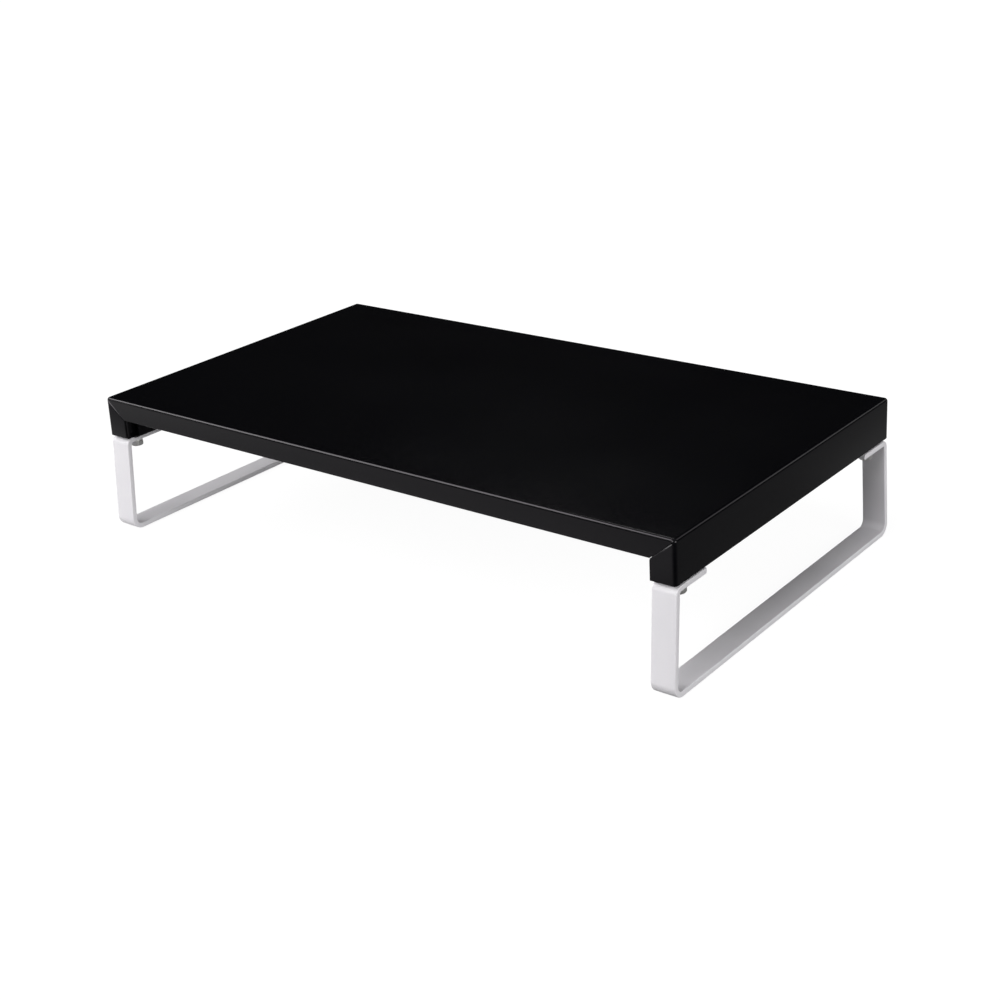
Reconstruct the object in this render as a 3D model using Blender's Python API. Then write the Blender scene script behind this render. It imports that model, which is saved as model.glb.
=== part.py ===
# Fixed-height desktop riser: a folded sheet-steel tray carried on two bent flat-bar legs.
#
# Frame: metres, +Z up, origin on the floor under the middle of the riser.
# X runs along the width, -Y is the front (the edge that faces the user).

import math

import bmesh
import bpy
from mathutils import Matrix, Vector

# ---------------------------------------------------------------- driving dimensions
WIDTH = 0.590            # tray, left to right
DEPTH = 0.331            # tray, front to back
HEIGHT = 0.124           # floor to the top surface
PANEL_H = 0.0355         # full height of the tray's side walls
LIP_H = 0.0184           # height of the front and rear lips between the corner blocks
BLOCK_W = 0.0213         # width of the full-height corner blocks
SHEET = 0.0015           # sheet thickness of the tray and the rails
EDGE_R = 0.0028          # outer bend radius along the top edges
CORNER_R = 0.0032        # outer radius of the vertical corners
MITRE_W = 0.0004         # open seam between a lip and a corner block
GAP = 0.0003             # clearance between pieces that touch

RAIL_TOP_FLANGE = 0.014  # rail flange spot-welded under the top
RAIL_START = 0.0110      # the rail's wall begins this far behind the tray's front and rear
RAIL_FLANGE_START = 0.0080   # the same for the part of its floor flange beyond the blocks
RAIL_IN = 0.0048         # the rail's inner face beyond the corner block's inner edge
RAIL_DROP = 0.0010       # the rail's floor flange stands this far below the tray's edge
ANGLE_T = 0.0014         # corner angle sheet thickness
ANGLE_SIDE = 0.0260      # corner angle reach from the tray's end face

STIFF_H = 0.012          # hat-section stiffener depth
STIFF_TOP = 0.044        # its overall width with the flanges
STIFF_HAT = 0.024        # width of its hat
STIFF_T = 0.0012

BAR_W = 0.0205           # leg flat bar, wide side with its paint
BAR_T = 0.0045           # leg flat bar, thickness with its paint
BAR_EDGE_R = 0.0006      # rounded edge of the bar
BAR_INSET = 0.0002       # leg's outer edge inside the tray's side
LEG_SETBACK = 0.0014     # leg's upright behind the tray's end face, at the top
LEG_LEAN = 0.065         # outward lean of the uprights
TAB_L = 0.040            # bolted tab, from the upright's outer face
TAB_BEND_IN = 0.0020     # inside bend radius between tab and upright
FLOOR_BEND_IN = 0.0060   # inside bend radius between upright and floor bar

BOLT_IN = 0.020          # bolt centre from the tray's end face
BOLT_R = 0.0029          # M6 shank
HOLE_R = 0.0032          # clearance hole for it
HEAD_AF = 0.010          # hexagon across flats
HEAD_H = 0.0046
NUT_H = 0.0050
FLAT_R, FLAT_T = 0.0060, 0.0014      # flat washer
LOCK_R, LOCK_T = 0.0052, 0.0016      # spring washer
STACK_GAP = 0.0002       # between the washers and the head
SHANK_UP = 0.0083        # shank end above the tray's lower edge

STRIP_L, STRIP_W, STRIP_T = 0.300, 0.016, 0.0008   # rubber strip under each leg
STRIP_GAP = 0.0002

HX, HY = WIDTH / 2, DEPTH / 2
PANEL_Z = HEIGHT - PANEL_H           # lower edge of the tray
BLOCK_X = HX - BLOCK_W               # inner edge of a corner block
BAR_X = HX - BAR_INSET - BAR_W / 2   # centre line of a leg
BAR_BOTTOM = STRIP_T + STRIP_GAP
RAIL_Z = PANEL_Z - RAIL_DROP         # underside of the rail's floor flange
RAIL_X = BLOCK_X - RAIL_IN + SHEET / 2   # centre of the rail's inner wall
TAB_TOP = RAIL_Z - GAP


# ---------------------------------------------------------------- helpers
def clear_scene():
    for obj in list(bpy.data.objects):
        bpy.data.objects.remove(obj, do_unlink=True)


def finish_of(name, color, roughness, metallic):
    mat = bpy.data.materials.new(name)
    mat.use_nodes = True
    bsdf = mat.node_tree.nodes["Principled BSDF"]
    bsdf.inputs["Base Color"].default_value = (*color, 1.0)
    bsdf.inputs["Roughness"].default_value = roughness
    bsdf.inputs["Metallic"].default_value = metallic
    return mat


def black_paint(name):
    return finish_of(name + "_paint", (0.012, 0.012, 0.014), 0.42, 0.0)


def white_paint(name):
    return finish_of(name + "_paint", (0.74, 0.74, 0.75), 0.45, 0.0)


def zinc(name):
    return finish_of(name + "_zinc", (0.56, 0.55, 0.52), 0.35, 1.0)


def rubber(name):
    return finish_of(name + "_rubber", (0.05, 0.05, 0.05), 0.85, 0.0)


def add_object(name, bm, material, parent=None, location=(0, 0, 0), smooth=None):
    bmesh.ops.recalc_face_normals(bm, faces=bm.faces)
    mesh = bpy.data.meshes.new(name)
    bm.to_mesh(mesh)
    bm.free()
    if smooth is not None:
        mesh.shade_smooth()
        mesh.set_sharp_from_angle(angle=math.radians(smooth))
    obj = bpy.data.objects.new(name, mesh)
    bpy.context.scene.collection.objects.link(obj)
    obj.location = location
    if material is not None:
        mesh.materials.append(material)
    if parent is not None:
        obj.parent = parent
    return obj


def loft(rings, cap=True, close=False):
    """Skin a list of equal-length rings of points; cap the ends or close the loop."""
    bm = bmesh.new()
    loops = [[bm.verts.new(p) for p in ring] for ring in rings]
    count = len(loops[0])
    pairs = list(zip(loops, loops[1:]))
    if close:
        pairs.append((loops[-1], loops[0]))
    for a, b in pairs:
        for i in range(count):
            j = (i + 1) % count
            bm.faces.new((a[i], a[j], b[j], b[i]))
    if cap and not close:
        bm.faces.new(list(reversed(loops[0])))
        bm.faces.new(loops[-1])
    return bm


def box_into(bm, low, high):
    """Add an axis-aligned box to bm and return its vertices."""
    low, high = Vector(low), Vector(high)
    made = bmesh.ops.create_cube(bm, size=1.0)["verts"]
    for v in made:
        v.co = Vector(((low + high)[k] / 2 + v.co[k] * (high - low)[k] for k in range(3)))
    return made


def rounded_rect(hx, hy, r, z, steps=6):
    """Points of a rounded rectangle, counter-clockwise, at height z."""
    pts = []
    for cx, cy, start in ((hx - r, hy - r, 0), (-hx + r, hy - r, 90),
                          (-hx + r, -hy + r, 180), (hx - r, -hy + r, 270)):
        for i in range(steps + 1):
            a = math.radians(start + 90 * i / steps)
            pts.append(Vector((cx + r * math.cos(a), cy + r * math.sin(a), z)))
    return pts


def add_cutter(name, bm):
    cutter = add_object(name, bm, None)
    cutter.hide_render = True
    cutter.display_type = "WIRE"
    return cutter


def cut(obj, cutter):
    mod = obj.modifiers.new("cut_" + cutter.name, "BOOLEAN")
    mod.operation = "DIFFERENCE"
    mod.solver = "EXACT"
    mod.object = cutter


def extrude_profile(profile, axis, low, high):
    """Closed 2-D profile swept straight along X, Y or Z between low and high."""
    def place(a, b, t):
        return {"X": Vector((t, a, b)), "Y": Vector((a, t, b)), "Z": Vector((a, b, t))}[axis]
    return loft([[place(a, b, low) for a, b in profile],
                 [place(a, b, high) for a, b in profile]])


def fillet(points, radii, steps):
    """Round a 2-D polyline's inner corners; returns (point, unit normal) pairs."""
    out = []

    def left_normal(d):
        return Vector((-d.y, d.x))

    first = (points[1] - points[0]).normalized()
    out.append((points[0], left_normal(first)))
    for k in range(1, len(points) - 1):
        p, r = points[k], radii[k - 1]
        d0 = (p - points[k - 1]).normalized()
        d1 = (points[k + 1] - p).normalized()
        turn = math.atan2(d0.x * d1.y - d0.y * d1.x, d0.dot(d1))
        side = 1.0 if turn > 0 else -1.0
        back = r * math.tan(abs(turn) / 2)
        start = p - d0 * back
        centre = start + left_normal(d0) * side * r
        for i in range(steps + 1):
            a = turn * i / steps
            spoke = Matrix.Rotation(a, 2) @ (start - centre)
            out.append((centre + spoke, spoke.normalized() * -side))
    last = (points[-1] - points[-2]).normalized()
    out.append((points[-1], left_normal(last)))
    return out


def offset_strip(path, thickness):
    """Closed outline of a folded strip from (point, normal) pairs on its centre line."""
    one = [p + n * thickness / 2 for p, n in path]
    two = [p - n * thickness / 2 for p, n in path]
    return [(v.x, v.y) for v in one + list(reversed(two))]


# ---------------------------------------------------------------- tray
def make_tray(root):
    """Open-bottomed tray with rounded edges, then its openings and mitre seams are cut."""
    steps = 6

    def skin(inset):
        hx, hy = HX - inset, HY - inset
        top = HEIGHT - inset
        edge, corner = EDGE_R - inset, CORNER_R - inset
        rings = [rounded_rect(hx, hy, corner, PANEL_Z)]
        for i in range(steps + 1):
            a = math.radians(90 * i / steps)
            draw_in = edge * (1 - math.cos(a))
            z = top - edge + edge * math.sin(a)
            rings.append(rounded_rect(hx - draw_in, hy - draw_in, corner - draw_in, z))
        return rings

    inner, outer = skin(SHEET), skin(0.0)
    bm = loft(list(reversed(inner)) + outer)
    tray = add_object("top_tray", bm, black_paint("top_tray"), root, smooth=40)

    # between the corner blocks the front and rear walls are only as deep as the lip
    bm = bmesh.new()
    for sign in (-1, 1):
        y0, y1 = sorted((sign * (HY - SHEET - 0.002), sign * (HY + 0.002)))
        box_into(bm, (-BLOCK_X, y0, PANEL_Z - 0.002), (BLOCK_X, y1, HEIGHT - LIP_H))
    cut(tray, add_cutter("lip_opening_cutter", bm))

    # mitre seam: from just under each top corner down to the lip's lower end
    bm = bmesh.new()
    top_pt = Vector((HX - 0.0042, 0, HEIGHT - 0.0036))
    low_pt = Vector((BLOCK_X - 0.0008, 0, HEIGHT - LIP_H - 0.0008))
    run = low_pt - top_pt
    angle = math.atan2(run.z, run.x)
    for sx in (-1, 1):
        for sy in (-1, 1):
            verts = box_into(bm, (-run.length / 2, -0.003, -MITRE_W / 2),
                             (run.length / 2, 0.003, MITRE_W / 2))
            mid = (top_pt + low_pt) / 2
            turn = Matrix.Rotation(-angle * sx, 4, "Y")
            shift = Matrix.Translation((mid.x * sx, sy * HY, mid.z))
            bmesh.ops.transform(bm, matrix=shift @ turn, verts=verts)
    cut(tray, add_cutter("mitre_seam_cutter", bm))
    return tray


def make_rail(side, root):
    """Box-channel rail: floor flange, inner wall and a flange under the top."""
    name = "side_rail_" + side
    sign = -1 if side == "left" else 1
    outer_x = HX - SHEET - 0.0008
    low_z = RAIL_Z + SHEET / 2
    top_z = HEIGHT - SHEET - GAP - SHEET / 2
    half = HY - SHEET - 0.0008
    bend = SHEET / 2 + GAP
    pts = [Vector((outer_x, low_z)), Vector((RAIL_X, low_z)), Vector((RAIL_X, top_z)),
           Vector((RAIL_X - RAIL_TOP_FLANGE, top_z))]
    profile = [(sign * x, z) for x, z in offset_strip(fillet(pts, (bend, bend), 5), SHEET)]
    bm = extrude_profile(profile, "Y", -half, half)
    rail = add_object(name, bm, black_paint(name), root, smooth=40)

    # the wall stops short of the lips; the floor flange runs on into the corner blocks
    bm = bmesh.new()
    for end in (-1, 1):
        x0, x1 = sorted((sign * (RAIL_X - RAIL_TOP_FLANGE - 0.002), sign * (RAIL_X + 0.002)))
        y0, y1 = sorted((end * (HY - RAIL_START), end * (HY + 0.002)))
        box_into(bm, (x0, y0, RAIL_Z + SHEET + 0.0006), (x1, y1, HEIGHT + 0.002))
    cut(rail, add_cutter(name + "_notch_cutter", bm))

    # inboard of the corner blocks the floor flange ends a little earlier
    bm = bmesh.new()
    for end in (-1, 1):
        x0, x1 = sorted((sign * (RAIL_X - 0.004), sign * (BLOCK_X + 0.0001)))
        y0, y1 = sorted((end * (HY - RAIL_FLANGE_START), end * (HY + 0.002)))
        box_into(bm, (x0, y0, RAIL_Z - 0.002), (x1, y1, RAIL_Z + SHEET + 0.0008))
    cut(rail, add_cutter(name + "_flange_end_cutter", bm))

    bm = bmesh.new()
    for end in (-1, 1):
        spot = Matrix.Translation((sign * BAR_X, end * (HY - BOLT_IN), RAIL_Z))
        bmesh.ops.create_cone(bm, cap_ends=True, segments=24, radius1=HOLE_R, radius2=HOLE_R,
                              depth=0.006, matrix=spot)
    cut(rail, add_cutter(name + "_hole_cutter", bm))


def make_corner_angle(where, sx, sy, root):
    """Bent angle that closes a block's inner side and ties the lip to the rail."""
    name = "corner_angle_" + where
    outer_x = HX - 0.0030
    inner_x = BLOCK_X + ANGLE_T / 2
    end_y = HY - SHEET - GAP - ANGLE_T / 2
    pts = [Vector((outer_x, end_y)), Vector((inner_x, end_y)),
           Vector((inner_x, HY - ANGLE_SIDE))]
    strip = offset_strip(fillet(pts, (ANGLE_T / 2 + 0.0006,), 4), ANGLE_T)
    profile = [(sx * x, sy * y) for x, y in strip]
    bm = extrude_profile(profile, "Z", RAIL_Z + SHEET + GAP, HEIGHT - SHEET - 0.0015)
    add_object(name, bm, black_paint(name), root, smooth=40)


def make_stiffener(root):
    """Hat section across the middle of the tray, between the two rails."""
    name = "centre_stiffener"
    top = HEIGHT - SHEET - GAP - STIFF_T / 2
    low = top - STIFF_H + STIFF_T
    out, hat = STIFF_TOP / 2, STIFF_HAT / 2
    pts = [Vector((-out, top)), Vector((-hat, top)), Vector((-hat + 0.003, low)),
           Vector((hat - 0.003, low)), Vector((hat, top)), Vector((out, top))]
    profile = offset_strip(fillet(pts, (0.0016,) * 4, 4), STIFF_T)
    half = RAIL_X - RAIL_TOP_FLANGE - 0.0027
    bm = extrude_profile(profile, "X", -half, half)
    add_object(name, bm, black_paint(name), root, smooth=40)


# ---------------------------------------------------------------- legs
def bar_section(width, thickness, r, steps=3):
    """Rounded rectangle section as (across the width, across the thickness) pairs."""
    pts = []
    for cx, cy, start in ((width / 2 - r, thickness / 2 - r, 0),
                          (-width / 2 + r, thickness / 2 - r, 90),
                          (-width / 2 + r, -thickness / 2 + r, 180),
                          (width / 2 - r, -thickness / 2 + r, 270)):
        for i in range(steps + 1):
            a = math.radians(start + 90 * i / steps)
            pts.append((cx + r * math.cos(a), cy + r * math.sin(a)))
    return pts


def leg_path():
    """Centre line of the bent bar in the Y-Z plane, tab to tab."""
    tab_z = TAB_TOP - BAR_T / 2
    floor_z = BAR_BOTTOM + BAR_T / 2
    top_y = HY - LEG_SETBACK - BAR_T / 2
    low_y = top_y + LEG_LEAN * (tab_z - floor_z)
    tab_end = HY - LEG_SETBACK - TAB_L
    half = [Vector((-tab_end, tab_z)), Vector((-top_y, tab_z)), Vector((-low_y, floor_z))]
    points = half + [Vector((-p.x, p.y)) for p in reversed(half)]
    tab_r, floor_r = TAB_BEND_IN + BAR_T / 2, FLOOR_BEND_IN + BAR_T / 2
    return fillet(points, (tab_r, floor_r, floor_r, tab_r), 8)


def make_leg(side, root):
    name = "leg_" + side
    sign = -1 if side == "left" else 1
    section = bar_section(BAR_W, BAR_T, BAR_EDGE_R)
    rings = [[Vector((across, p.x + n.x * up, p.y + n.y * up)) for across, up in section]
             for p, n in leg_path()]
    leg = add_object(name, loft(rings), white_paint(name), root,
                     location=(sign * BAR_X, 0, 0), smooth=35)
    bm = bmesh.new()
    for end in (-1, 1):
        spot = Matrix.Translation((sign * BAR_X, end * (HY - BOLT_IN), TAB_TOP - BAR_T / 2))
        bmesh.ops.create_cone(bm, cap_ends=True, segments=24, radius1=HOLE_R, radius2=HOLE_R,
                              depth=BAR_T + 0.004, matrix=spot)
    cut(leg, add_cutter(name + "_hole_cutter", bm))


def make_foot_strip(side, root):
    name = "foot_strip_" + side
    sign = -1 if side == "left" else 1
    rings = [rounded_rect(STRIP_W / 2, STRIP_L / 2, 0.002, z, 4) for z in (0.0, STRIP_T)]
    add_object(name, loft(rings), rubber(name), root, location=(sign * BAR_X, 0, 0))


# ---------------------------------------------------------------- fasteners
SIDES = 24


def circle_ring(r, z):
    return [Vector((r * math.cos(2 * math.pi * i / SIDES),
                    r * math.sin(2 * math.pi * i / SIDES), z)) for i in range(SIDES)]


def hex_ring(across_flats, z):
    """Hexagon sampled at the same angles as a circle ring, so the two can be skinned."""
    pts = []
    for i in range(SIDES):
        a = 2 * math.pi * i / SIDES
        fold = (a + math.pi / 6) % (math.pi / 3) - math.pi / 6
        r = across_flats / 2 / math.cos(fold)
        pts.append(Vector((r * math.cos(a), r * math.sin(a), z)))
    return pts


def make_bolt(name, root, at):
    """Hexagon bolt, head down; its origin is on the head's bearing face."""
    shank = SHANK_UP + (PANEL_Z - at[2])
    rings = [circle_ring(HEAD_AF * 0.43, -HEAD_H), circle_ring(HEAD_AF * 0.48, -HEAD_H + 0.0003),
             hex_ring(HEAD_AF, -HEAD_H + 0.0008), hex_ring(HEAD_AF, 0.0),
             circle_ring(BOLT_R, 0.0), circle_ring(BOLT_R, shank - 0.0007),
             circle_ring(BOLT_R - 0.0006, shank)]
    add_object(name, loft(rings), zinc(name), root, location=at, smooth=30)


def make_washer(name, root, at, outer, thickness):
    rings = [circle_ring(HOLE_R, 0), circle_ring(outer, 0),
             circle_ring(outer, thickness), circle_ring(HOLE_R, thickness)]
    add_object(name, loft(rings, close=True), zinc(name), root, location=at, smooth=30)


def make_lock_washer(name, root, at):
    """Spring washer: a flat ring split by a narrow gap."""
    rings = []
    for i in range(SIDES + 1):
        a = math.radians(6 + 348 * i / SIDES)
        c, s = math.cos(a), math.sin(a)
        rings.append([Vector((r * c, r * s, z)) for r, z in
                      ((HOLE_R, 0), (LOCK_R, 0), (LOCK_R, LOCK_T), (HOLE_R, LOCK_T))])
    add_object(name, loft(rings), zinc(name), root, location=at, smooth=30)


def make_weld_nut(name, root, at):
    rings = [circle_ring(HOLE_R, 0), hex_ring(HEAD_AF, 0), hex_ring(HEAD_AF, NUT_H - 0.0006),
             circle_ring(HEAD_AF * 0.47, NUT_H), circle_ring(HOLE_R, NUT_H)]
    add_object(name, loft(rings, close=True), zinc(name), root, location=at, smooth=30)


def make_fasteners(where, sx, sy, root):
    """One bolted joint: nut on the rail, then tab, flat washer, spring washer and bolt."""
    x, y = sx * BAR_X, sy * (HY - BOLT_IN)
    make_weld_nut("weld_nut_" + where, root, (x, y, RAIL_Z + SHEET + GAP))
    z = TAB_TOP - BAR_T - STACK_GAP - FLAT_T
    make_washer("flat_washer_" + where, root, (x, y, z), FLAT_R, FLAT_T)
    z -= STACK_GAP + LOCK_T
    make_lock_washer("lock_washer_" + where, root, (x, y, z))
    z -= STACK_GAP
    make_bolt("bolt_" + where, root, (x, y, z))


def main():
    clear_scene()
    root = bpy.data.objects.new("riser", None)
    bpy.context.scene.collection.objects.link(root)
    make_tray(root)
    make_stiffener(root)
    for side in ("left", "right"):
        make_rail(side, root)
        make_leg(side, root)
        make_foot_strip(side, root)
    for where, sx, sy in (("front_left", -1, -1), ("front_right", 1, -1),
                          ("rear_left", -1, 1), ("rear_right", 1, 1)):
        make_corner_angle(where, sx, sy, root)
        make_fasteners(where, sx, sy, root)
    bpy.context.view_layer.update()


main()
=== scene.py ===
import math

import bmesh
import bpy
from mathutils import Matrix, Vector


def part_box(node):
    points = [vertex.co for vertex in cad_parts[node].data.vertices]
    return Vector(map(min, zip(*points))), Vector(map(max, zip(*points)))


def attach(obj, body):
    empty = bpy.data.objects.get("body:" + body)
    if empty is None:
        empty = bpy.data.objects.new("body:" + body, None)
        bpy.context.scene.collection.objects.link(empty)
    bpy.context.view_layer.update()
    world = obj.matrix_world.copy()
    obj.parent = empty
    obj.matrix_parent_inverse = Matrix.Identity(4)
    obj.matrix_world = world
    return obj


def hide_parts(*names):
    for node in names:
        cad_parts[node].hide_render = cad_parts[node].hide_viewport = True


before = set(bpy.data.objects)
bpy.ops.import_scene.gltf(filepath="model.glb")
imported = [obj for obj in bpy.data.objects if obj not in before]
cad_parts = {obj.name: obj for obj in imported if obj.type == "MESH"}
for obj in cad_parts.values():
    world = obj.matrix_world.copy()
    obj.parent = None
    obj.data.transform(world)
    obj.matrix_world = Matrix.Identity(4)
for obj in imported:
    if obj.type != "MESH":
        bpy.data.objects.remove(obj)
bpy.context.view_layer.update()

# ---------------------------------------------------------------- dimensions, from the CAD frame
tray_low, tray_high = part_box("top_tray")
HX, HY = tray_high.x, tray_high.y
HEIGHT, PANEL_Z = tray_high.z, tray_low.z
leg_low, leg_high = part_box("leg_right")
BAR_X = (leg_low.x + leg_high.x) / 2
BAR_W = leg_high.x - leg_low.x
BAR_BOTTOM, TAB_TOP = leg_low.z, leg_high.z

SHEET = 0.0015
LIP_H = 0.0184
BLOCK_W = 0.0213
BLOCK_X = HX - BLOCK_W
EDGE_R = 0.0028
CORNER_R = 0.0032
BAR_T = 0.0045
BAR_EDGE_R = 0.0007
LEG_SETBACK = 0.0014
LEG_LEAN = 0.0646
TAB_L = 0.040
TAB_BEND_IN = 0.0020
FLOOR_BEND_IN = 0.0060
BOLT_IN = 0.020
HOLE_R = 0.0032
HEAD_AF, HEAD_H = 0.010, 0.0046      # bolt head: across flats, height
SHANK_R = 0.0029
STIFF_T = 0.0012                     # sheet of the centre stiffener
CLEAR = 0.002                        # how far a cutter reaches past what it cuts
CORNERS = ("front_left", "front_right", "rear_left", "rear_right")


# ---------------------------------------------------------------- node helpers
def new_material(name):
    mat = bpy.data.materials.new(name)
    mat.use_nodes = True
    tree = mat.node_tree
    return mat, tree, tree.nodes["Principled BSDF"]


def add_node(tree, kind, **sockets):
    node = tree.nodes.new(kind)
    for key, value in sockets.items():
        node.inputs[key.replace("_", " ")].default_value = value
    return node


def noise(tree, coords, scale, detail, rough=0.5):
    node = add_node(tree, "ShaderNodeTexNoise", Scale=scale, Detail=detail, Roughness=rough)
    tree.links.new(coords, node.inputs["Vector"])
    return node.outputs["Fac"]


def spread(tree, fac, low, high, start=0.3, end=0.7):
    """A number between low and high, following fac."""
    node = tree.nodes.new("ShaderNodeMapRange")
    for key, value in (("From Min", start), ("From Max", end), ("To Min", low), ("To Max", high)):
        node.inputs[key].default_value = value
    tree.links.new(fac, node.inputs["Value"])
    return node.outputs["Result"]


def ramp(tree, fac, stops):
    node = tree.nodes.new("ShaderNodeValToRGB")
    first, last = node.color_ramp.elements[0], node.color_ramp.elements[1]
    first.position, first.color = stops[0][0], (*stops[0][1], 1)
    last.position, last.color = stops[-1][0], (*stops[-1][1], 1)
    for at, color in stops[1:-1]:
        node.color_ramp.elements.new(at).color = (*color, 1)
    tree.links.new(fac, node.inputs["Fac"])
    return node.outputs["Color"]


def bumped(tree, bsdf, layers):
    """Chain of bumps: (height, distance in metres, strength) each."""
    normal = None
    for height, distance, strength in layers:
        node = add_node(tree, "ShaderNodeBump", Distance=distance, Strength=strength)
        tree.links.new(height, node.inputs["Height"])
        if normal is not None:
            tree.links.new(normal, node.inputs["Normal"])
        normal = node.outputs["Normal"]
    tree.links.new(normal, bsdf.inputs["Normal"])


def mixed(tree, fac, a, b):
    """Colour a where fac is 0 and b where it is 1; a and b are sockets or colours."""
    node = tree.nodes.new("ShaderNodeMix")
    node.data_type = "RGBA"
    for key, value in (("A", a), ("B", b)):
        socket = [s for s in node.inputs if s.name == key and s.type == "RGBA"][0]
        if isinstance(value, tuple):
            socket.default_value = (*value, 1)
        else:
            tree.links.new(value, socket)
    tree.links.new(fac, node.inputs["Factor"])
    return [s for s in node.outputs if s.type == "RGBA"][0]


# ---------------------------------------------------------------- materials
def black_powder_coat():
    """Fine-grained semi-matte black: slight orange peel, a few lighter grains, faint haze."""
    mat, tree, bsdf = new_material("black_powder_coat")
    coords = tree.nodes.new("ShaderNodeTexCoord").outputs["Object"]
    haze = noise(tree, coords, 9.0, 3.0)
    mottle = noise(tree, coords, 420.0, 3.0)
    base = ramp(tree, mottle, [(0.30, (0.0012, 0.0012, 0.0017)), (0.70, (0.0024, 0.0025, 0.0033))])
    grains = tree.nodes.new("ShaderNodeTexVoronoi")
    grains.inputs["Scale"].default_value = 60.0
    tree.links.new(coords, grains.inputs["Vector"])
    grain_mask = spread(tree, grains.outputs["Distance"], 1.0, 0.0, 0.018, 0.030)
    tree.links.new(mixed(tree, grain_mask, base, (0.020, 0.021, 0.025)), bsdf.inputs["Base Color"])
    peel = noise(tree, coords, 950.0, 2.0, 0.45)
    tree.links.new(spread(tree, haze, 0.165, 0.20), bsdf.inputs["Roughness"])
    bsdf.inputs["Specular IOR Level"].default_value = 0.30
    bsdf.inputs["Specular Tint"].default_value = (1.0, 0.94, 1.0, 1.0)
    bumped(tree, bsdf, [(peel, 0.00003, 0.5), (mottle, 0.00004, 0.35)])
    return mat


def white_powder_coat():
    """Satin silver-white with a light orange peel and slightly uneven sheen."""
    mat, tree, bsdf = new_material("white_powder_coat")
    coords = tree.nodes.new("ShaderNodeTexCoord").outputs["Object"]
    cloud = noise(tree, coords, 24.0, 4.0)
    speck = noise(tree, coords, 1300.0, 2.0)
    tint = ramp(tree, cloud, [(0.30, (0.785, 0.768, 0.800)), (0.70, (0.828, 0.812, 0.838))])
    fine = spread(tree, speck, 0.0, 0.10, 0.35, 0.75)
    tree.links.new(mixed(tree, fine, tint, (0.70, 0.685, 0.715)), bsdf.inputs["Base Color"])
    tree.links.new(spread(tree, cloud, 0.40, 0.47), bsdf.inputs["Roughness"])
    peel = noise(tree, coords, 700.0, 2.0, 0.4)
    bumped(tree, bsdf, [(peel, 0.00005, 0.4), (speck, 0.00003, 0.3)])
    return mat


def zinc_plate():
    """Bright zinc: fine forming lines, cloudy passivation and a duller grain."""
    mat, tree, bsdf = new_material("zinc_plate")
    coords = tree.nodes.new("ShaderNodeTexCoord").outputs["Object"]
    cloud = noise(tree, coords, 260.0, 3.0)
    grain = noise(tree, coords, 2600.0, 2.0)
    tint = ramp(tree, cloud, [(0.30, (0.72, 0.71, 0.68)), (0.55, (0.82, 0.82, 0.80)),
                              (0.75, (0.77, 0.78, 0.81))])
    tree.links.new(tint, bsdf.inputs["Base Color"])
    bsdf.inputs["Metallic"].default_value = 1.0
    tree.links.new(spread(tree, grain, 0.36, 0.50), bsdf.inputs["Roughness"])
    bumped(tree, bsdf, [(grain, 0.00002, 0.35)])
    return mat


def foot_rubber():
    mat, tree, bsdf = new_material("foot_rubber")
    coords = tree.nodes.new("ShaderNodeTexCoord").outputs["Object"]
    dust = noise(tree, coords, 60.0, 4.0)
    pores = noise(tree, coords, 1800.0, 2.0)
    tint = ramp(tree, dust, [(0.35, (0.022, 0.022, 0.023)), (0.75, (0.040, 0.039, 0.038))])
    tree.links.new(tint, bsdf.inputs["Base Color"])
    tree.links.new(spread(tree, pores, 0.72, 0.88), bsdf.inputs["Roughness"])
    bumped(tree, bsdf, [(pores, 0.00008, 0.5)])
    return mat


BLACK, WHITE, ZINC, RUBBER = (black_powder_coat(), white_powder_coat(), zinc_plate(),
                              foot_rubber())


# ---------------------------------------------------------------- mesh helpers
def link_mesh(name, bm, material=None, smooth=None):
    bmesh.ops.recalc_face_normals(bm, faces=bm.faces)
    mesh = bpy.data.meshes.new(name)
    bm.to_mesh(mesh)
    bm.free()
    if smooth is not None:
        mesh.shade_smooth()
        mesh.set_sharp_from_angle(angle=math.radians(smooth))
    if material is not None:
        mesh.materials.append(material)
    obj = bpy.data.objects.new(name, mesh)
    bpy.context.scene.collection.objects.link(obj)
    return obj


def skin(rings, cap=True, close=False):
    """Skin a list of equal-length rings of points; cap the ends or close the loop."""
    bm = bmesh.new()
    loops = [[bm.verts.new(p) for p in ring] for ring in rings]
    count = len(loops[0])
    pairs = list(zip(loops, loops[1:])) + ([(loops[-1], loops[0])] if close else [])
    for a, b in pairs:
        for i in range(count):
            j = (i + 1) % count
            bm.faces.new((a[i], a[j], b[j], b[i]))
    if cap and not close:
        bm.faces.new(list(reversed(loops[0])))
        bm.faces.new(loops[-1])
    return bm


def carved(obj, cutters, smooth):
    """Subtract the cutters, keep the result as plain mesh and drop them."""
    for cutter in cutters:
        mod = obj.modifiers.new("cut", "BOOLEAN")
        mod.operation, mod.solver, mod.object = "DIFFERENCE", "EXACT", cutter
    made = bpy.data.meshes.new_from_object(
        obj.evaluated_get(bpy.context.evaluated_depsgraph_get()))
    obj.modifiers.clear()
    obj.data = made
    for cutter in cutters:
        bpy.data.objects.remove(cutter)
    made.shade_smooth()
    made.set_sharp_from_angle(angle=math.radians(smooth))
    return obj


def stand_for(obj, node):
    """obj takes the place of that CAD node."""
    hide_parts(node)
    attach(obj, "root")


def arc(cx, cy, r, start, stop, steps):
    return [(cx + r * math.cos(math.radians(start + (stop - start) * i / steps)),
             cy + r * math.sin(math.radians(start + (stop - start) * i / steps)))
            for i in range(steps + 1)]


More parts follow.
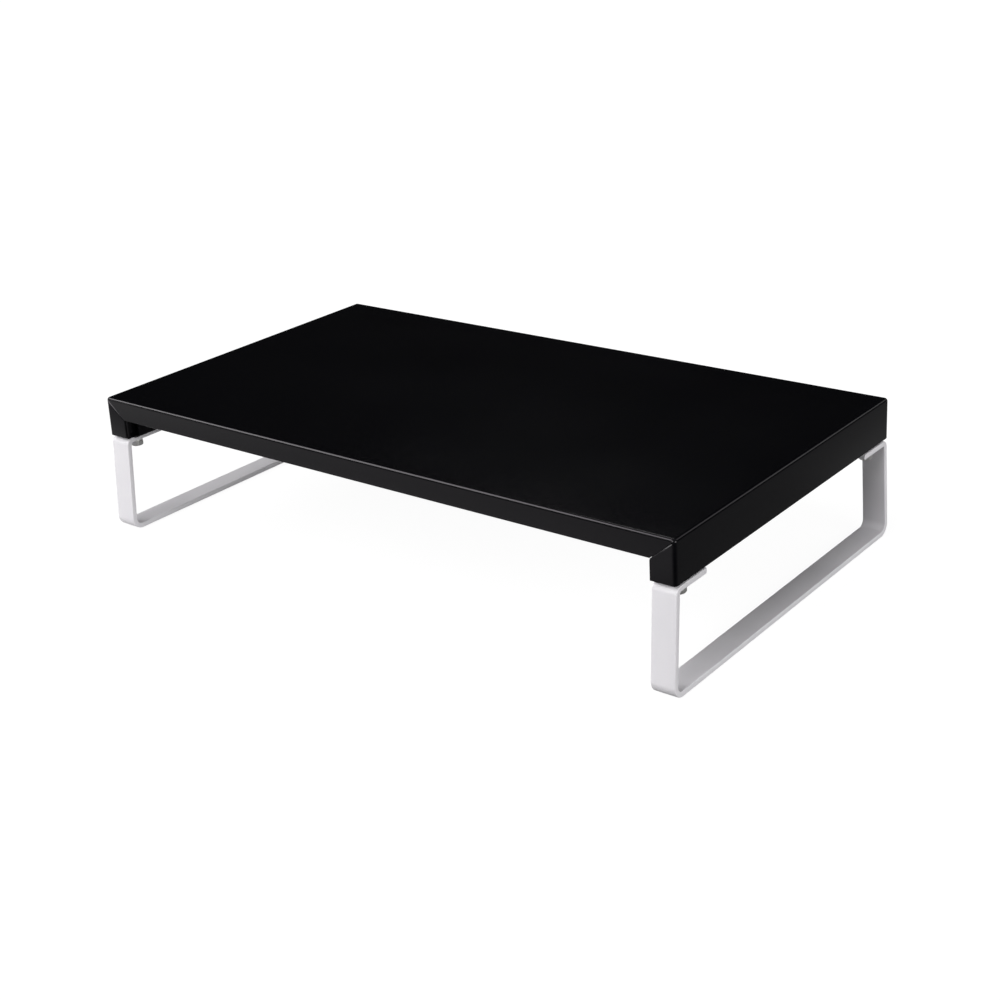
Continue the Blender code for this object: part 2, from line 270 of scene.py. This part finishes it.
def rounded_rect(hx, hy, r, z, steps):
    pts = (arc(hx - r, hy - r, r, 0, 90, steps) + arc(-hx + r, hy - r, r, 90, 180, steps)
           + arc(-hx + r, -hy + r, r, 180, 270, steps) + arc(hx - r, -hy + r, r, 270, 360, steps))
    return [Vector((x, y, z)) for x, y in pts]


# ---------------------------------------------------------------- tray
def lip_opening(sign):
    """Removes the wall under a lip and leaves its lower edge rounded."""
    r, low = SHEET * 0.45, HEIGHT - LIP_H
    outer, inner = HY, HY - SHEET
    quarter = [math.pi / 2 * i / 5 for i in range(6)]
    profile = ([(outer + CLEAR, low + r)]
               + [(outer - r + r * math.cos(t), low + r - r * math.sin(t)) for t in quarter]
               + [(inner + r - r * math.sin(t), low + r - r * math.cos(t)) for t in quarter]
               + [(inner - CLEAR, low + r), (inner - CLEAR, PANEL_Z - CLEAR),
                  (outer + CLEAR, PANEL_Z - CLEAR)])
    return link_mesh("lip_opening", skin([[Vector((x, sign * y, z)) for y, z in profile]
                                          for x in (-BLOCK_X, BLOCK_X)]))


def mitre_seam(sx, sy):
    """Narrow seam between lip and corner block; the block's edge is bevelled."""
    gap, lip_r = 0.00014, 0.00022                  # half width, rounding on the lip's side
    bevel, bevel_deep = 0.00110, 0.00063           # bevel on the block's side
    proud, deep = -0.0012, SHEET + 0.0008          # the cutter's reach, out and in
    section = ([(-gap - lip_r, proud)]
               + [(-gap - lip_r + lip_r * math.sin(t), lip_r - lip_r * math.cos(t))
                  for t in (math.pi / 2 * i / 4 for i in range(5))]
               + [(-gap, deep), (gap, deep), (gap, bevel_deep), (gap + bevel, 0.0),
                  (gap + bevel, proud)])
    corner = Vector((HX, HEIGHT))
    low = Vector((BLOCK_X, HEIGHT - LIP_H))
    along = (corner - low).normalized()
    across = Vector((along.y, -along.x))           # towards the block
    # the seam starts below the lip and thins out just under the top corner
    stops = ((low - along * 0.0022, 1.0), (corner - along * 0.0052, 1.0),
             (corner - along * 0.0036, 0.7), (corner - along * 0.0026, 0.25))
    rings = [[Vector((sx * (p.x + across.x * v * size), sy * (HY - w), p.y + across.y * v * size))
              for v, w in section] for p, size in stops]
    return link_mesh("mitre_seam", skin(rings))


def make_tray():
    """Folded tray with rounded edges, lips, corner blocks and mitre seams."""
    steps = 12

    def shell(inset):
        edge, corner = EDGE_R - inset, CORNER_R - inset
        rings = []
        for i in range(steps + 1):
            a = math.radians(90 * i / steps)
            draw = edge * (1 - math.cos(a))
            rings.append(rounded_rect(HX - inset - draw, HY - inset - draw, corner - draw,
                                      HEIGHT - inset - edge + edge * math.sin(a), steps))
        return rings

    # the sheet's lower edge is rounded over, from its inner face to its outer one
    r = SHEET * 0.42
    hem = []
    for i in range(9):
        t = math.pi * i / 8
        side = (i < 4) - (i > 4)
        inset = SHEET / 2 + (SHEET / 2 - r) * side + r * math.cos(t)
        hem.append(rounded_rect(HX - inset, HY - inset, CORNER_R - inset,
                                PANEL_Z + r - r * math.sin(t), steps))
    bm = skin(list(reversed(shell(SHEET))) + hem + shell(0.0))
    tray = link_mesh("tray_shell", bm, BLACK)
    cutters = [lip_opening(s) for s in (-1, 1)]
    cutters += [mitre_seam(sx, sy) for sx in (-1, 1) for sy in (-1, 1)]
    stand_for(carved(tray, cutters, 32), "top_tray")


# ---------------------------------------------------------------- legs
def fillet(points, radii, steps):
    """Round a 2-D polyline's inner corners; returns (point, unit normal) pairs."""
    def left(d):
        return Vector((-d.y, d.x))

    out = [(points[0], left((points[1] - points[0]).normalized()))]
    for k in range(1, len(points) - 1):
        p, r = points[k], radii[k - 1]
        d0 = (p - points[k - 1]).normalized()
        d1 = (points[k + 1] - p).normalized()
        turn = math.atan2(d0.x * d1.y - d0.y * d1.x, d0.dot(d1))
        side = math.copysign(1.0, turn)
        start = p - d0 * r * math.tan(abs(turn) / 2)
        centre = start + left(d0) * side * r
        for i in range(steps + 1):
            spoke = Matrix.Rotation(turn * i / steps, 2) @ (start - centre)
            out.append((centre + spoke, spoke.normalized() * -side))
    out.append((points[-1], left((points[-1] - points[-2]).normalized())))
    return out


def bar_ring(point, normal, width, thickness, r, steps=6):
    """Rounded section of the flat bar, across X and along the path's normal."""
    hw, ht = width / 2, thickness / 2
    pts = (arc(hw - r, ht - r, r, 0, 90, steps) + arc(-hw + r, ht - r, r, 90, 180, steps)
           + arc(-hw + r, -ht + r, r, 180, 270, steps) + arc(hw - r, -ht + r, r, 270, 360, steps))
    return [Vector((across, point.x + normal.x * up, point.y + normal.y * up))
            for across, up in pts]


def drill(x, y, z, r, depth, segments=48):
    bm = bmesh.new()
    bmesh.ops.create_cone(bm, cap_ends=True, segments=segments, radius1=r, radius2=r,
                          depth=depth, matrix=Matrix.Translation((x, y, z)))
    return link_mesh("drill", bm)


def make_leg(side):
    """Flat bar bent into tab, upright, floor bar, upright and tab, with two bolt holes."""
    sign = -1 if side == "left" else 1
    tab_z, floor_z = TAB_TOP - BAR_T / 2, BAR_BOTTOM + BAR_T / 2
    top_y = HY - LEG_SETBACK - BAR_T / 2
    low_y = top_y + LEG_LEAN * (tab_z - floor_z)
    half = [Vector((-(HY - LEG_SETBACK - TAB_L), tab_z)), Vector((-top_y, tab_z)),
            Vector((-low_y, floor_z))]
    tab_r, floor_r = TAB_BEND_IN + BAR_T / 2, FLOOR_BEND_IN + BAR_T / 2
    path = fillet(half + [Vector((-p.x, p.y)) for p in reversed(half)],
                  (tab_r, floor_r, floor_r, tab_r), 20)
    # the cut ends are rounded over
    r = BAR_EDGE_R
    ends = [], []
    for k, (p, n) in ((0, path[0]), (1, path[-1])):
        inward = 1 if k == 0 else -1
        run = Vector((n.y, -n.x)) * inward
        for i in range(5):
            t = math.pi / 2 * i / 5
            shrink = 2 * r * (1 - math.sin(t))
            ring = bar_ring(p + run * r * (1 - math.cos(t)), n, BAR_W - shrink,
                            BAR_T - shrink, max(r * math.sin(t), r * 0.12))
            ends[k].append(ring)
    first, last = path[0], path[-1]
    run0 = Vector((first[1].y, -first[1].x))
    run1 = Vector((last[1].y, -last[1].x))
    body = [(first[0] + run0 * r, first[1])] + path[1:-1] + [(last[0] - run1 * r, last[1])]
    rings = ends[0] + [bar_ring(p, n, BAR_W, BAR_T, r) for p, n in body] \
        + list(reversed(ends[1]))
    leg = link_mesh("leg_bar_" + side, skin(rings), WHITE)
    leg.data.transform(Matrix.Translation((sign * BAR_X, 0, 0)))
    holes = [drill(sign * BAR_X, end * (HY - BOLT_IN), tab_z, HOLE_R, BAR_T + 0.004)
             for end in (-1, 1)]
    stand_for(carved(leg, holes, 35), "leg_" + side)


# ---------------------------------------------------------------- rubber strips
def make_foot(side):
    """Strip with lengthwise anti-slip ribs on the side that stands on the desk."""
    low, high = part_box("foot_strip_" + side)
    half, thick = (high.x - low.x) / 2, high.z - low.z
    ribs, groove, r = 8, 0.00028, 0.00025
    pitch = 2 * (half - r) / ribs
    under = []
    for i in range(ribs):
        x = -half + r + i * pitch
        under += [(x + pitch * 0.10, 0.0), (x + pitch * 0.62, 0.0),
                  (x + pitch * 0.72, groove), (x + pitch, groove)]
    under[-1] = (half - r, 0.0)
    section = [(-half, r), (-half + r * 0.3, r * 0.3), (-half + r, 0.0)] + under \
        + [(half - r * 0.3, r * 0.3), (half, r), (half, thick - r), (half - r, thick),
           (-half + r, thick), (-half, thick - r)]
    mid = (low.x + high.x) / 2
    ends = ((low.y, 0.985, 0.55), (low.y + r, 1.0, 1.0), (high.y - r, 1.0, 1.0),
            (high.y, 0.985, 0.55))
    rings = [[Vector((mid + x * across, y, thick / 2 + (z - thick / 2) * up)) for x, z in section]
             for y, across, up in ends]
    foot = link_mesh("ribbed_foot_" + side, skin(rings), RUBBER, smooth=30)
    stand_for(foot, "foot_strip_" + side)


# ---------------------------------------------------------------- bolts
SIDES = 72


def turned(radius_at, z):
    """Ring of points at height z whose radius may change with the angle."""
    out = []
    for i in range(SIDES):
        a = 2 * math.pi * i / SIDES
        r = radius_at(a) if callable(radius_at) else radius_at
        out.append(Vector((r * math.cos(a), r * math.sin(a), z)))
    return out


def hexagon(angle, flats=HEAD_AF):
    fold = (angle + math.pi / 6) % (math.pi / 3) - math.pi / 6
    return flats / 2 / math.cos(fold)


def make_bolt(where):
    """Forged hexagon bolt: dished and chamfered head, washer face and a cut thread."""
    low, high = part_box("bolt_" + where)
    bearing = low.z + HEAD_H                       # height of the head's bearing face
    end, tip = -HEAD_H, high.z - bearing           # the two ends, from that face
    face_r, rim_r = HEAD_AF * 0.44, HEAD_AF * 0.46
    chamfer, chamfer_steps, chamfer_slope = 0.0011, 6, 1.2
    neck, pitch, depth, per_pitch = 0.0100, 0.0010, 0.00055, 6
    rings = [turned(0.0026, end + 0.0007), turned(0.0031, end + 0.0005), turned(0.0034, end),
             turned(face_r, end)]
    for k in range(chamfer_steps):
        up = chamfer * (k + 1) / chamfer_steps
        reach = rim_r + up * chamfer_slope
        rings.append(turned(lambda a: min(hexagon(a), reach), end + up))
    rings += [turned(hexagon, -0.0007),
              turned(lambda a: min(hexagon(a), HEAD_AF * 0.53), -0.0003),
              turned(rim_r, -0.0003), turned(rim_r, 0.0),
              turned(SHANK_R, 0.0), turned(SHANK_R, neck)]
    steps = int((tip - 0.0006 - neck) / pitch * per_pitch)
    for k in range(1, steps + 1):
        z = neck + k * pitch / per_pitch
        cut_in = min(1.0, k / 8)                   # the thread runs out towards the neck

        def threaded(a, z=z, cut_in=cut_in):
            phase = (z / pitch - a / (2 * math.pi)) % 1.0
            return SHANK_R - depth * cut_in * (1 - abs(2 * phase - 1))
        rings.append(turned(threaded, z))
    rings += [turned(SHANK_R - depth, tip - 0.0003), turned(SHANK_R - depth - 0.0003, tip)]
    bolt = link_mesh("hex_bolt_" + where, skin(rings), ZINC, smooth=28)
    bolt.data.transform(Matrix.Translation(((low.x + high.x) / 2, (low.y + high.y) / 2, bearing)))
    stand_for(bolt, "bolt_" + where)


# ---------------------------------------------------------------- spot welds
WELD_SIDES = 24
WELD_PROFILE = ((0.0034, 0.0003), (0.0034, -0.00002), (0.0029, -0.00012), (0.0025, -0.00022),
                (0.0021, -0.00018), (0.0016, -0.00006), (0.0008, -0.00003))   # radius, height
STIFF_WELD_IN, RAIL_WELD_IN = 0.0050, 0.0065       # weld centres from the flange's edge or wall
STIFF_WELD_STEP, RAIL_WELD_STEP = 0.31, 0.28       # spacing as a part of the half length


def weld_mark(bm, x, y, z):
    """Shallow ring with a sunken middle, on the underside of a welded flange."""
    turns = [math.tau * i / WELD_SIDES for i in range(WELD_SIDES)]
    loops = [[bm.verts.new((x + r * math.cos(t), y + r * math.sin(t), z + dz)) for t in turns]
             for r, dz in WELD_PROFILE]
    for a, b in zip(loops, loops[1:]):
        for i in range(WELD_SIDES):
            j = (i + 1) % WELD_SIDES
            bm.faces.new((a[i], a[j], b[j], b[i]))
    bm.faces.new(loops[0])
    bm.faces.new(list(reversed(loops[-1])))


def weld_row(name, spots):
    bm = bmesh.new()
    for x, y, z in spots:
        weld_mark(bm, x, y, z)
    marks = link_mesh(name, bm, BLACK, smooth=35)
    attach(marks, "root")


def make_spot_welds():
    """Seven welds along each flange of the stiffener and of the two rails."""
    low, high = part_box("centre_stiffener")
    weld_row("spot_welds_stiffener",
             [(i * high.x * STIFF_WELD_STEP, y, high.z - STIFF_T) for i in range(-3, 4)
              for y in (low.y + STIFF_WELD_IN, high.y - STIFF_WELD_IN)])
    for side, sign in (("left", -1), ("right", 1)):
        low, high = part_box("side_rail_" + side)
        inner = min(abs(low.x), abs(high.x)) + RAIL_WELD_IN
        weld_row("spot_welds_" + side,
                 [(sign * inner, i * high.y * RAIL_WELD_STEP, high.z - SHEET)
                  for i in range(-3, 4)])


make_tray()
make_spot_welds()
for side in ("left", "right"):
    make_leg(side)
    make_foot(side)
for where in CORNERS:
    make_bolt(where)

# CAD pieces that stay visible: their paint, and how far their edges are softened
FINISH = {"top_tray": BLACK, "centre_stiffener": BLACK, "side_rail": BLACK,
          "corner_angle": BLACK, "leg": WHITE, "foot_strip": RUBBER, "bolt": ZINC,
          "flat_washer": ZINC, "lock_washer": ZINC, "weld_nut": ZINC}
SOFTENED = {"centre_stiffener": 0.00025, "side_rail": 0.00025, "corner_angle": 0.00025,
            "flat_washer": 0.0002, "lock_washer": 0.0002, "weld_nut": 0.0002}
for name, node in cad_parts.items():
    kind = next(k for k in sorted(FINISH, key=len, reverse=True) if name.startswith(k))
    for slot in node.material_slots:
        slot.material = FINISH[kind]
    if kind in SOFTENED:
        mod = node.modifiers.new("softened_edges", "BEVEL")
        mod.width, mod.segments = SOFTENED[kind], 2
        mod.limit_method, mod.angle_limit = "ANGLE", math.radians(40)


# ---------------------------------------------------------------- floor, light, camera
FLOOR_FADE = (0.10, 0.42)            # metres along X over which the floor's colour is painted darker: painted shade standing in for its bounce light falling off
FLOOR_BRIGHT, FLOOR_DIM = 0.54, 0.14
PAINTED_SHADOW_AT = (0.50, -0.30, 0.0)         # painted shadow: a darker round patch in the floor's colour at the right
PAINTED_SHADOW_SPAN, PAINTED_SHADOW_LEVEL = (0.10, 0.24), 0.2
FLOOR_R, FLOOR_DROP = 40.0, 0.0002
ROOM, CEILING = 0.008, 0.30          # radiance low down and overhead
CEILING_SPAN = (0.62, 0.92)
HORIZON = 0.34                       # glow low in front of the object
HORIZON_SPAN, AHEAD_SPAN = (0.02, 0.24), (-0.85, -0.30)
SUNS = [
    # name, direction to the light, angular size in degrees, strength
    ("key_left", (-0.62, -0.36, 0.68), 34.0, 1.6),
    ("kicker_back", (-0.45, 0.60, 0.66), 9.0, 0.10),
    ("edge_right", (0.37, 0.80, 0.47), 22.0, 0.12),
    ("fill_front", (-0.06, -0.81, 0.51), 33.0, 1.46),
    ("fill_right", (0.95, -0.10, 0.25), 40.0, 2.1),
    ("rim_left", (-0.92, -0.38, 0.09), 22.0, 0.5),
]
CAMERA_AT = (0.8596, -1.0556, 0.6036)
CAMERA_TURN = (38.526, 18.856, -3.079)   # degrees: azimuth, elevation, roll
LENS, SHIFT_Y = 60.887, -0.12


def math_node(tree, operation, a, b):
    node = tree.nodes.new("ShaderNodeMath")
    node.operation = operation
    tree.links.new(a, node.inputs[0])
    tree.links.new(b, node.inputs[1])
    return node.outputs[0]


def smooth_range(tree, value, span, levels):
    """levels[0] before the span, levels[1] after it, with a smooth step between."""
    node = tree.nodes.new("ShaderNodeMapRange")
    node.interpolation_type = "SMOOTHSTEP"
    for key, number in (("From Min", span[0]), ("From Max", span[1]), ("To Min", levels[0]),
                        ("To Max", levels[1])):
        node.inputs[key].default_value = number
    tree.links.new(value, node.inputs["Value"])
    return node.outputs["Result"]


def dull(bsdf):
    bsdf.inputs["Roughness"].default_value = 0.9
    bsdf.inputs["Specular IOR Level"].default_value = 0.0


def make_floor():
    """White sweep, clear from below, whose colour is painted darker at the right as painted shade.
    """
    bm = bmesh.new()
    bmesh.ops.create_circle(bm, cap_ends=True, segments=64, radius=FLOOR_R)
    mesh = bpy.data.meshes.new("floor")
    bm.to_mesh(mesh)
    bm.free()
    floor = bpy.data.objects.new("floor", mesh)
    floor.location.z = -FLOOR_DROP
    bpy.context.scene.collection.objects.link(floor)
    mat, tree, bounce = new_material("pale_floor")
    dull(bounce)
    # painted shade in the floor's colour, seen only by bounce and reflection rays: brightest in
    # front and at the left, painted darker towards the right and in a painted shadow patch there
    spot = tree.nodes.new("ShaderNodeTexCoord").outputs["Object"]
    parts = tree.nodes.new("ShaderNodeSeparateXYZ")
    tree.links.new(spot, parts.inputs["Vector"])
    painted_falloff = smooth_range(tree, parts.outputs["X"], FLOOR_FADE, (FLOOR_BRIGHT, FLOOR_DIM))
    # painted shadow: the floor's colour is darkened in a round patch at the right
    away = tree.nodes.new("ShaderNodeVectorMath")
    away.operation = "DISTANCE"
    away.inputs[1].default_value = PAINTED_SHADOW_AT
    tree.links.new(spot, away.inputs[0])
    painted_shadow = smooth_range(tree, away.outputs["Value"], PAINTED_SHADOW_SPAN, (PAINTED_SHADOW_LEVEL, 1.0))
    tree.links.new(math_node(tree, "MULTIPLY", painted_falloff, painted_shadow), bounce.inputs["Base Color"])
    # what the camera sees of it is a lit white sweep that keeps a faint shadow
    lit = tree.nodes.new("ShaderNodeBsdfPrincipled")
    dull(lit)
    lit.inputs["Base Color"].default_value = (0.12, 0.12, 0.12, 1)
    lit.inputs["Emission Color"].default_value = (1, 1, 1, 1)
    lit.inputs["Emission Strength"].default_value = 0.95
    path = tree.nodes.new("ShaderNodeLightPath")
    seen = tree.nodes.new("ShaderNodeMixShader")
    tree.links.new(path.outputs["Is Camera Ray"], seen.inputs["Fac"])
    tree.links.new(bounce.outputs["BSDF"], seen.inputs[1])
    tree.links.new(lit.outputs["BSDF"], seen.inputs[2])
    # from below it is clear, so that the underside can be looked at
    clear = tree.nodes.new("ShaderNodeBsdfTransparent")
    side = tree.nodes.new("ShaderNodeNewGeometry")
    pick = tree.nodes.new("ShaderNodeMixShader")
    tree.links.new(side.outputs["Backfacing"], pick.inputs["Fac"])
    tree.links.new(seen.outputs["Shader"], pick.inputs[1])
    tree.links.new(clear.outputs["BSDF"], pick.inputs[2])
    tree.links.new(pick.outputs["Shader"], tree.nodes["Material Output"].inputs["Surface"])
    mesh.materials.append(mat)


def make_world():
    """Dim room with a soft ceiling; the camera itself sees plain white beyond the floor."""
    world = bpy.data.worlds.new("studio")
    world.use_nodes = True
    bpy.context.scene.world = world
    tree = world.node_tree
    tree.nodes.clear()
    parts = tree.nodes.new("ShaderNodeSeparateXYZ")
    tree.links.new(tree.nodes.new("ShaderNodeTexCoord").outputs["Generated"],
                   parts.inputs["Vector"])
    light = tree.nodes.new("ShaderNodeBackground")
    overhead = smooth_range(tree, parts.outputs["Z"], CEILING_SPAN, (ROOM, CEILING))
    low = smooth_range(tree, parts.outputs["Z"], HORIZON_SPAN, (HORIZON, 0.0))
    ahead = smooth_range(tree, parts.outputs["Y"], AHEAD_SPAN, (1.0, 0.0))
    glow = math_node(tree, "MULTIPLY", low, ahead)
    tree.links.new(math_node(tree, "ADD", overhead, glow), light.inputs["Strength"])
    plain = tree.nodes.new("ShaderNodeBackground")
    plain.inputs["Strength"].default_value = 1.0
    path = tree.nodes.new("ShaderNodeLightPath")
    pick = tree.nodes.new("ShaderNodeMixShader")
    out = tree.nodes.new("ShaderNodeOutputWorld")
    tree.links.new(path.outputs["Is Camera Ray"], pick.inputs["Fac"])
    tree.links.new(light.outputs["Background"], pick.inputs[1])
    tree.links.new(plain.outputs["Background"], pick.inputs[2])
    tree.links.new(pick.outputs["Shader"], out.inputs["Surface"])


def make_sun(name, toward, angle, strength):
    """Sun lamp shining from the direction toward, angle degrees across."""
    light = bpy.data.lights.new(name, "SUN")
    light.energy = strength
    light.angle = math.radians(angle)
    obj = bpy.data.objects.new(name, light)
    obj.rotation_mode = "QUATERNION"
    obj.rotation_quaternion = Vector(toward).to_track_quat("Z", "Y")
    bpy.context.scene.collection.objects.link(obj)


def make_camera():
    azimuth, elevation, roll = map(math.radians, CAMERA_TURN)
    forward = Vector((-math.sin(azimuth) * math.cos(elevation),
                      math.cos(azimuth) * math.cos(elevation), -math.sin(elevation)))
    right = forward.cross(Vector((0, 0, 1))).normalized()
    up = right.cross(forward)
    right, up = (math.cos(roll) * right + math.sin(roll) * up,
                 math.cos(roll) * up - math.sin(roll) * right)
    data = bpy.data.cameras.new("camera")
    data.sensor_width, data.lens, data.shift_y = 36.0, LENS, SHIFT_Y
    data.clip_start, data.clip_end = 0.01, 200.0
    cam = bpy.data.objects.new("camera", data)
    turn = Matrix((right, up, -forward)).transposed().to_4x4()
    cam.matrix_world = Matrix.Translation(CAMERA_AT) @ turn
    bpy.context.scene.collection.objects.link(cam)
    bpy.context.scene.camera = cam


make_floor()
make_world()
for sun in SUNS:
    make_sun(*sun)
make_camera()
bpy.context.scene.view_settings.view_transform = "Standard"
